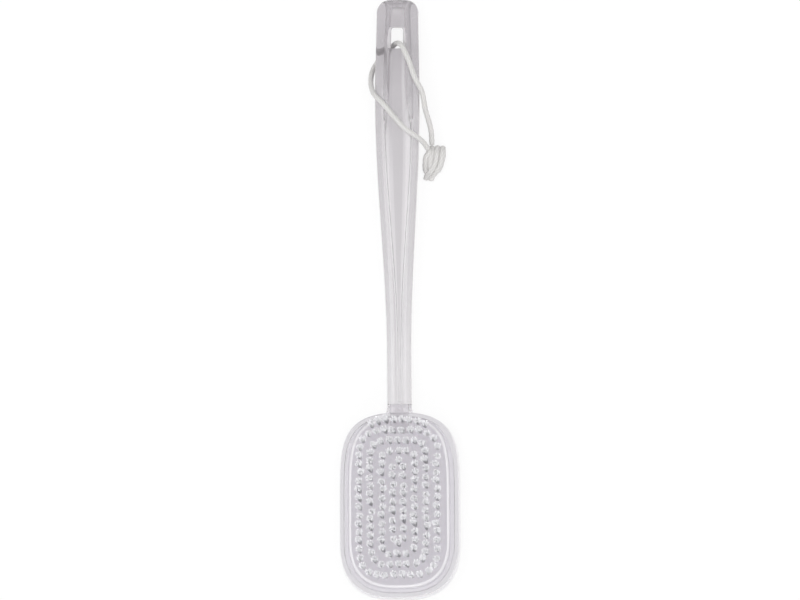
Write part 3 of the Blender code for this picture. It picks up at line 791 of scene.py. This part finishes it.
def handle_back(from_tip):
    """Height of the back: a cubic that is level at the neck and falls at the tip's slope to the
    table."""
    reach = tip_y - joint_y
    share = 1 - from_tip / reach
    from_neck = neck_back * (2 * share**3 - 3 * share**2 + 1)
    return from_neck + tip_fall_slope * reach * share**2 * (1 - share)


def round_loss(radius, distance):
    """How far a rounded edge has drawn in at a distance from its end."""
    left = np.clip(radius - distance, 0, radius)
    return radius - np.sqrt(radius**2 - left**2)


def channel_depth_share(from_tip):
    """Share of the channel's full depth: a quarter circle up a ramp from the end wall, deep under
    the grip, then shallow."""
    left = 1 - np.clip((from_tip - end_wall) / channel_ramp, channel_end_share, 1)
    past_grip = (from_tip - channel_deep_to) / (channel_shallow_from - channel_deep_to)
    return np.sqrt(1 - left**2) * eased(1, channel_shallow_share, past_grip)


def handle_ring(from_tip, hollow):
    """Ring across the handle: from the channel's right lip round the front to its left lip, then up
    the channel's left wall, across its roof and down its right wall. Not hollow, it runs along the
    back instead."""
    front_loss = round_loss(tip_front_round, from_tip)
    back_loss = round_loss(tip_back_round, from_tip)
    width = handle_width(from_tip) - 2 * round_loss(tip_corner, from_tip)
    height = handle_height(from_tip) - front_loss - back_loss
    back_z = handle_back(from_tip) + back_loss
    y = tip_y - from_tip
    half = max(handle_width(from_tip) - 2 * side_wall, channel_least_width) / 2
    lip = half + channel_draft
    start = -np.arccos((lip / (width / 2)) ** (back_power / 2))
    front = bar_section(np.linspace(start, np.pi - start, front_steps), width, height, back_z, y)
    lip_z = front[0, 2]
    count = 2 * (wall_steps + fillet_steps) + roof_steps
    if not hollow:
        x = np.linspace(-lip, lip, count + 2)[1:-1]
        power = back_power
        z = back_z + height / 2 * (1 - (1 - np.abs(x / (width / 2)) ** power) ** (1 / power))
        return np.concatenate([front, np.stack([x, np.full(count, y), z], 1)])
    full_roof_z = handle_back(from_tip) + handle_height(from_tip) - front_skin
    depth_share = channel_depth_share(from_tip)
    depth = (full_roof_z - lip_z) * depth_share
    roof_z = lip_z + depth
    half = max(half - channel_slope * depth_share, half * channel_least_roof_share)
    round_x = half * channel_round_share
    round_z = min(channel_round, depth * channel_round_depth_share)
    wall_z = np.linspace(lip_z, roof_z - round_z, wall_steps + 2)[1:-1]
    wall_x = -lip + (lip - half) * (wall_z - lip_z) / (depth - round_z)
    bend = np.linspace(0, np.pi / 2, fillet_steps)
    bend_x = -half + round_x * (1 - np.cos(bend))
    bend_z = roof_z - round_z * (1 - np.sin(bend))
    roof_x = np.linspace(round_x - half, 0, roof_steps // 2 + 1)[1:] - (half - round_x) / roof_steps
    left_x = np.concatenate([wall_x, bend_x, roof_x])
    left_z = np.concatenate([wall_z, bend_z, np.full(len(roof_x), roof_z)])
    x = np.concatenate([left_x, -left_x[::-1]])
    z = np.concatenate([left_z, left_z[::-1]])
    return np.concatenate([front, np.stack([x, np.full(count, y), z], 1)])


def tongue_ring(chamfer, y, like):
    """Ring round the tongue: where rays from its middle to each point of another ring cross its
    box."""
    half_x = tongue_width / 2 - chamfer
    half_z = tongue_height / 2 - chamfer
    middle = np.array([0, tongue_z + tongue_height / 2])
    rays = like[:, [0, 2]] - middle
    to_side = half_x / np.maximum(np.abs(rays[:, 0]), nearly_nothing)
    to_face = half_z / np.maximum(np.abs(rays[:, 1]), nearly_nothing)
    flat = middle + rays * np.minimum(to_side, to_face)[:, None]
    return np.stack([flat[:, 0], np.full(len(flat), y), flat[:, 1]], 1)


handle_reach = tip_y - joint_y - fit_gap
round_tip = tip_corner * (1 - np.cos(quarter_turns(tip_steps)))
before_channel = round_tip[round_tip < end_wall]
channel_in_tip = round_tip[round_tip > end_wall]
channel_end = handle_reach - end_wall
channel_beyond = np.linspace(tip_corner, channel_end, channel_rings)[1:]
along_channel = np.concatenate([[end_wall], channel_in_tip, channel_beyond])
handle_rings = [handle_ring(from_tip, False) for from_tip in [*before_channel, end_wall]]
handle_rings += [handle_ring(from_tip, True) for from_tip in along_channel]
handle_rings += [handle_ring(from_tip, False) for from_tip in (channel_end, handle_reach)]
neck_ring = handle_rings[-1]
tongue_end_y = joint_y - tongue_length
tongue_rings = [
    tongue_ring(chamfer, y, neck_ring)
    for chamfer, y in (
        (0, tip_y - handle_reach),
        (0, tongue_end_y + tongue_chamfer),
        (tongue_chamfer, tongue_end_y),
    )
]
grip = skin("grip", np.array(handle_rings + tongue_rings), handle_sharp_degrees)
outside_part, roof_part, tongue_part, slot_part, left_part, right_part = range(6)
ring_parts = np.full((len(handle_rings) + len(tongue_rings) - 1, len(neck_ring)), outside_part)
hollow_part = ring_parts[len(before_channel):-len(tongue_rings) - 1]
side_steps = wall_steps + fillet_steps
hollow_part[:, front_steps:-1] = roof_part
hollow_part[:, front_steps - 1:front_steps + side_steps - 1] = left_part
hollow_part[:, -side_steps:] = right_part
ring_parts[-len(tongue_rings):] = tongue_part
set_parts(grip, np.append(ring_parts, [outside_part, outside_part]))

slot_quarter = quarter_turns(slot_corner_steps)
slot_turns = np.concatenate([slot_quarter + np.pi / 2 * quarter for quarter in range(4)])
slot_sides = np.repeat([(1, 1), (-1, 1), (-1, -1), (1, -1)], len(slot_quarter), 0)
slot_middle = slot_from_tip + slot_length / 2
slot_front_z = float(handle_back(slot_middle) + handle_height(slot_middle))


def slot_ring(width, z):
    """Level ring of the slot: a rounded rectangle of its length and a given width."""
    straight = np.array([width / 2, slot_length / 2]) - slot_corner
    rounding = slot_corner * np.stack([np.cos(slot_turns), np.sin(slot_turns)], 1)
    flat = slot_sides * straight + rounding
    return np.column_stack([flat + np.array([0, tip_y - slot_middle]), np.full(len(flat), z)])


slot_rings = [
    slot_ring(slot_back_width, -front_skin),
    slot_ring(slot_back_width, slot_front_z - front_skin),
    slot_ring(slot_width, slot_front_z),
    slot_ring(slot_width, slot_front_z + front_skin),
]
# The handle is painted darker towards its tip, and its channel's roof lighter at the tip's end:
# painted shade and light along it. The channel's sides are painted darker under the grip, where
# they are high, and the left one more than the right: painted shade.
neck_tint = (0.83, 0.812, 0.83)
painted_shade_to_tip = [
    (-0.060, neck_tint),
    (-0.015, (0.765, 0.747, 0.765)),
    (0.030, (0.725, 0.705, 0.725)),
    (0.115, (0.685, 0.663, 0.685)),
    (0.143, (0.64, 0.615, 0.64)),
    (0.160, (0.59, 0.565, 0.59)),
    (0.183, (0.64, 0.613, 0.64)),
]
roof_painted_shade = painted_shade_to_tip + [(0.187, (0.86, 0.84, 0.86))]
channel_side_base_shade = (0.93, 0.91, 0.93)
side_painted_shade = [(0.030, (0.91, 0.89, 0.91)), (0.080, (0.82, 0.80, 0.82))]
left_painted_shade = side_painted_shade + [
    (0.098, (0.70, 0.68, 0.70)),
    (0.115, (0.48, 0.455, 0.48)),
    (0.145, (0.46, 0.435, 0.46)),
    (0.162, (0.58, 0.555, 0.58)),
]
right_painted_shade = side_painted_shade + [
    (0.105, (0.80, 0.78, 0.80)),
    (0.150, (0.76, 0.74, 0.76)),
    (0.165, (0.58, 0.555, 0.58)),
]
for plastic in (
    clear_plastic("handle_plastic", neck_tint, 0.10, haze=0.22, painted_shade_to_tip=painted_shade_to_tip),
    clear_plastic("channel_plastic", neck_tint, 0.40, haze=0.22, painted_shade_to_tip=roof_painted_shade),
    clear_plastic("tongue_plastic", joint_tint, 0.25, haze=0.08, bending=1.1),
    clear_plastic("slot_plastic", (0.97, 0.95, 0.97), 0.20, haze=0.40),
    clear_plastic("channel_left", channel_side_base_shade, 0.45, haze=0.0, painted_shade_to_tip=left_painted_shade),
    clear_plastic("channel_right", channel_side_base_shade, 0.45, haze=0.0, painted_shade_to_tip=right_painted_shade),
):
    grip.data.materials.append(plastic)

slot = skin("slot", np.array(slot_rings))
set_parts(slot, slot_part)
cut_or_join(grip, slot, "DIFFERENCE", handle_sharp_degrees)
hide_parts("handle")
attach(grip, "handle")

# ---- Hanging cord
# A limp cord braided from white yarn, tied into one loop through the hang slot. It lies from the
# knot up over the handle, down through the slot, out under the handle's left side and back over.

cord_diameter = 0.0033
cord_route = np.array([
    (0.0218, 0.0998, 0.0066),
    (0.0213, 0.1094, 0.0083),
    (0.0197, 0.1163, 0.0104),
    (0.0177, 0.1241, 0.0133),
    (0.0160, 0.1336, 0.0174),
    (0.0123, 0.1408, 0.0205),
    (0.0080, 0.1529, 0.0209),
    (0.0050, 0.1599, 0.0209),
    (0.0031, 0.1636, 0.0190),
    (0.0006, 0.1657, 0.0143),
    (-0.0019, 0.1658, 0.0080),
    (-0.0047, 0.1640, 0.0034),
    (-0.0089, 0.1603, 0.0018),
    (-0.0137, 0.1548, 0.0021),
    (-0.0162, 0.1499, 0.0040),
    (-0.0173, 0.1434, 0.0090),
    (-0.0166, 0.1368, 0.0149),
    (-0.0140, 0.1309, 0.0196),
    (-0.0096, 0.1262, 0.0221),
    (-0.0035, 0.1187, 0.0234),
    (0.0013, 0.1129, 0.0236),
    (0.0058, 0.1083, 0.0234),
    (0.0105, 0.1050, 0.0224),
    (0.0148, 0.1022, 0.0190),
    (0.0176, 0.0996, 0.0146),
    (0.0196, 0.0966, 0.0104),
])
cord_sides = 28
cord_step = 0.00028
fine_steps_a_point = 200
braid_columns = 6
braid_length = 0.0032
braid_height_share = 0.07
end_length_share = 0.6
end_least_share = 0.05


def smooth_line(route, step):
    """Points a step apart along the natural cubic spline through a route, and the spline's length.
    The spline's bends solve the usual three-term equations, and the fine curve is read at even
    lengths."""
    gaps = np.linalg.norm(np.diff(route, axis=0), axis=1)
    knots = np.concatenate([[0], np.cumsum(gaps)])
    count = len(route)
    system = np.zeros((count, count))
    system[0, 0] = system[-1, -1] = 1
    inner = np.arange(1, count - 1)
    system[inner, inner - 1] = gaps[:-1]
    system[inner, inner] = 2 * (gaps[:-1] + gaps[1:])
    system[inner, inner + 1] = gaps[1:]
    slopes = np.diff(route, axis=0) / gaps[:, None]
    pull = np.zeros_like(route)
    pull[1:-1] = 6 * np.diff(slopes, axis=0)
    bends = np.linalg.solve(system, pull)
    fine = np.linspace(0, knots[-1], fine_steps_a_point * count)
    piece = np.clip(np.searchsorted(knots, fine, side="right") - 1, 0, count - 2)
    width = gaps[piece][:, None]
    after = (fine - knots[piece])[:, None]
    before = width - after
    curve = (
        bends[piece] * before**3 / (6 * width)
        + bends[piece + 1] * after**3 / (6 * width)
        + (route[piece] / width - bends[piece] * width / 6) * before
        + (route[piece + 1] / width - bends[piece + 1] * width / 6) * after
    )
    run = np.concatenate([[0], np.cumsum(np.linalg.norm(np.diff(curve, axis=0), axis=1))])
    wanted = np.linspace(0, run[-1], max(round(run[-1] / step), 2) + 1)
    return np.stack([np.interp(wanted, run, curve[:, axis]) for axis in range(3)], 1), run[-1]


def carried_sides(line):
    """Two directions square to a line at each point, carried along it without twisting: each step
    drops the part of the last side that points along the line."""
    ahead = np.gradient(line, axis=0)
    ahead /= np.linalg.norm(ahead, axis=1)[:, None]
    sides = np.empty_like(line)
    side = np.cross(ahead[0], (0, 0, 1))
    for place, heading in enumerate(ahead):
        side = side - heading * (side @ heading)
        side /= np.linalg.norm(side)
        sides[place] = side
    return sides, np.cross(ahead, sides)


def braided_tube(line, radius):
    """A tube whose radius rises over each crossing of the yarns by a cosine of the turn times a
    cosine of the length, so that the rises are staggered like a braid's. Both ends close in a
    flattened half ball."""
    step = np.linalg.norm(line[1] - line[0])
    across, up = carried_sides(line)
    turn = 2 * np.pi * np.arange(cord_sides) / cord_sides
    length = np.arange(len(line)) * step
    down_length = np.cos(2 * np.pi * length / braid_length)
    weave = np.cos(braid_columns * turn)[None, :] * down_length[:, None]
    rise = 1 + braid_height_share * weave
    from_end = np.minimum(length, length[-1] - length)
    to_ball = np.clip(1 - from_end / (radius * end_length_share), 0, 1)
    ball = np.sqrt(1 - to_ball**2).clip(end_least_share)
    reach = radius * rise * ball[:, None]
    points = (
        line[:, None, :]
        + reach[..., None] * np.cos(turn)[None, :, None] * across[:, None, :]
        + reach[..., None] * np.sin(turn)[None, :, None] * up[:, None, :]
    )
    return points, weave


def add_tubes(name, tubes):
    """One piece of several closed tubes, with the weave's height kept on its points for the painted
    shade in the yarn's crevices."""
    mesh = bpy.data.meshes.new(name)
    points, faces, weave, shift = [], [], [], 0
    for grid, height in tubes:
        rings, around = grid.shape[:2]
        index = np.arange(rings * around).reshape(rings, around) + shift
        low, high = index[:-1], index[1:]
        walls = np.stack([low, np.roll(low, -1, 1), np.roll(high, -1, 1), high], -1).reshape(-1, 4)
        faces += walls.tolist() + [index[0, ::-1].tolist(), index[-1].tolist()]
        points.append(grid.reshape(-1, 3))
        weave.append(height.reshape(-1))
        shift += rings * around
    set_points(mesh, np.concatenate(points), faces)
    heights = np.concatenate(weave).astype(np.float32)
    mesh.attributes.new("weave", "FLOAT", "POINT").data.foreach_set("value", heights)
    mesh.shade_smooth()
    piece = bpy.data.objects.new(name, mesh)
    bpy.context.scene.collection.objects.link(piece)
    return piece


yarn = bpy.data.materials.new("white_yarn")
yarn.use_nodes = True
tree = yarn.node_tree
shader = tree.nodes["Principled BSDF"]
shader.inputs["Roughness"].default_value = 0.85
shader.inputs["Sheen Weight"].default_value = 0.3
shader.inputs["Sheen Roughness"].default_value = 0.5
height_of_weave = tree.nodes.new("ShaderNodeAttribute")
height_of_weave.attribute_name = "weave"
crevices = tree.nodes.new("ShaderNodeMapRange")
crevices.inputs["From Min"].default_value = -1
crevices.inputs["From Max"].default_value = 1
tree.links.new(height_of_weave.outputs["Fac"], crevices.inputs["Value"])
# Painted shade: the yarn is darker where the braid dips between its crossings.
painted_crevice_shade = tree.nodes.new("ShaderNodeValToRGB")
painted_crevice_shade.color_ramp.elements[0].color = (0.56, 0.55, 0.54, 1)
painted_crevice_shade.color_ramp.elements[1].color = (0.71, 0.70, 0.69, 1)
tree.links.new(crevices.outputs["Result"], painted_crevice_shade.inputs[0])
tree.links.new(painted_crevice_shade.outputs[0], shader.inputs["Base Color"])
place = tree.nodes.new("ShaderNodeTexCoord")
fibres = tree.nodes.new("ShaderNodeTexNoise")
fibres.inputs["Scale"].default_value = 5000
fibres.inputs["Detail"].default_value = 3
tree.links.new(place.outputs["Object"], fibres.inputs["Vector"])
fuzz = tree.nodes.new("ShaderNodeBump")
fuzz.inputs["Strength"].default_value = 0.5
fuzz.inputs["Distance"].default_value = 0.0001
tree.links.new(fibres.outputs["Fac"], fuzz.inputs["Height"])
tree.links.new(fuzz.outputs["Normal"], shader.inputs["Normal"])

cord_line, cord_length = smooth_line(cord_route, cord_step)
cord = add_tubes("cord", [braided_tube(cord_line, cord_diameter / 2)])
cord.data.materials.append(yarn)
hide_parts("hanging_cord")
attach(cord, "handle")

# ---- Knot
# The cord's two ends tied together side by side: down the front, up behind, over the top and down
# again across themselves, with two short cut tails below. Short strands fill the knot inside.

knot_lead = 0.0015
knot_strand_radius = 0.0018
heading_steps = 4
filling_points = 5
tied_left = [
    (0.0185, 0.0926, 0.0086),
    (0.0176, 0.0882, 0.0078),
    (0.0175, 0.0846, 0.0056),
    (0.0190, 0.0822, 0.0031),
    (0.0219, 0.0838, 0.0022),
    (0.0244, 0.0893, 0.0022),
    (0.0253, 0.0952, 0.0023),
    (0.0253, 0.0985, 0.0044),
    (0.0252, 0.0965, 0.0074),
    (0.0248, 0.0919, 0.0086),
    (0.0236, 0.0871, 0.0086),
    (0.0212, 0.0831, 0.0074),
    (0.0188, 0.0810, 0.0046),
    (0.0178, 0.0791, 0.0028),
    (0.0175, 0.0776, 0.0023),
]
tied_right = [
    (0.0219, 0.0957, 0.0076),
    (0.0212, 0.0907, 0.0082),
    (0.0207, 0.0863, 0.0068),
    (0.0218, 0.0828, 0.0036),
    (0.0249, 0.0839, 0.0022),
    (0.0276, 0.0893, 0.0022),
    (0.0287, 0.0948, 0.0023),
    (0.0287, 0.0982, 0.0042),
    (0.0287, 0.0960, 0.0070),
    (0.0283, 0.0914, 0.0080),
    (0.0271, 0.0868, 0.0076),
    (0.0246, 0.0830, 0.0062),
    (0.0222, 0.0806, 0.0038),
    (0.0211, 0.0789, 0.0027),
    (0.0208, 0.0771, 0.0023),
]
filling_strands = [
    ((0.0207, 0.0950, 0.0050), (0.0198, 0.0842, 0.0048)),
    ((0.0245, 0.0950, 0.0050), (0.0233, 0.0842, 0.0049)),
    ((0.0277, 0.0948, 0.0049), (0.0265, 0.0855, 0.0048)),
]


def tied_strand(end, before, route):
    """A cord's end led a little further the way it heads there, then along the knot's route."""
    heading = (end - before) / np.linalg.norm(end - before)
    return np.array([end, end + heading * knot_lead, *route])


knot_lines = [
    tied_strand(cord_line[-1], cord_line[-1 - heading_steps], tied_left),
    tied_strand(cord_line[0], cord_line[heading_steps], tied_right),
]
knot_lines += [np.linspace(top, bottom, filling_points) for top, bottom in filling_strands]
smooth_lines = [smooth_line(line, cord_step)[0] for line in knot_lines]
knot = add_tubes("knot", [braided_tube(line, knot_strand_radius) for line in smooth_lines])
knot.data.materials.append(yarn)
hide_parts("cord_knot")
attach(knot, "handle")
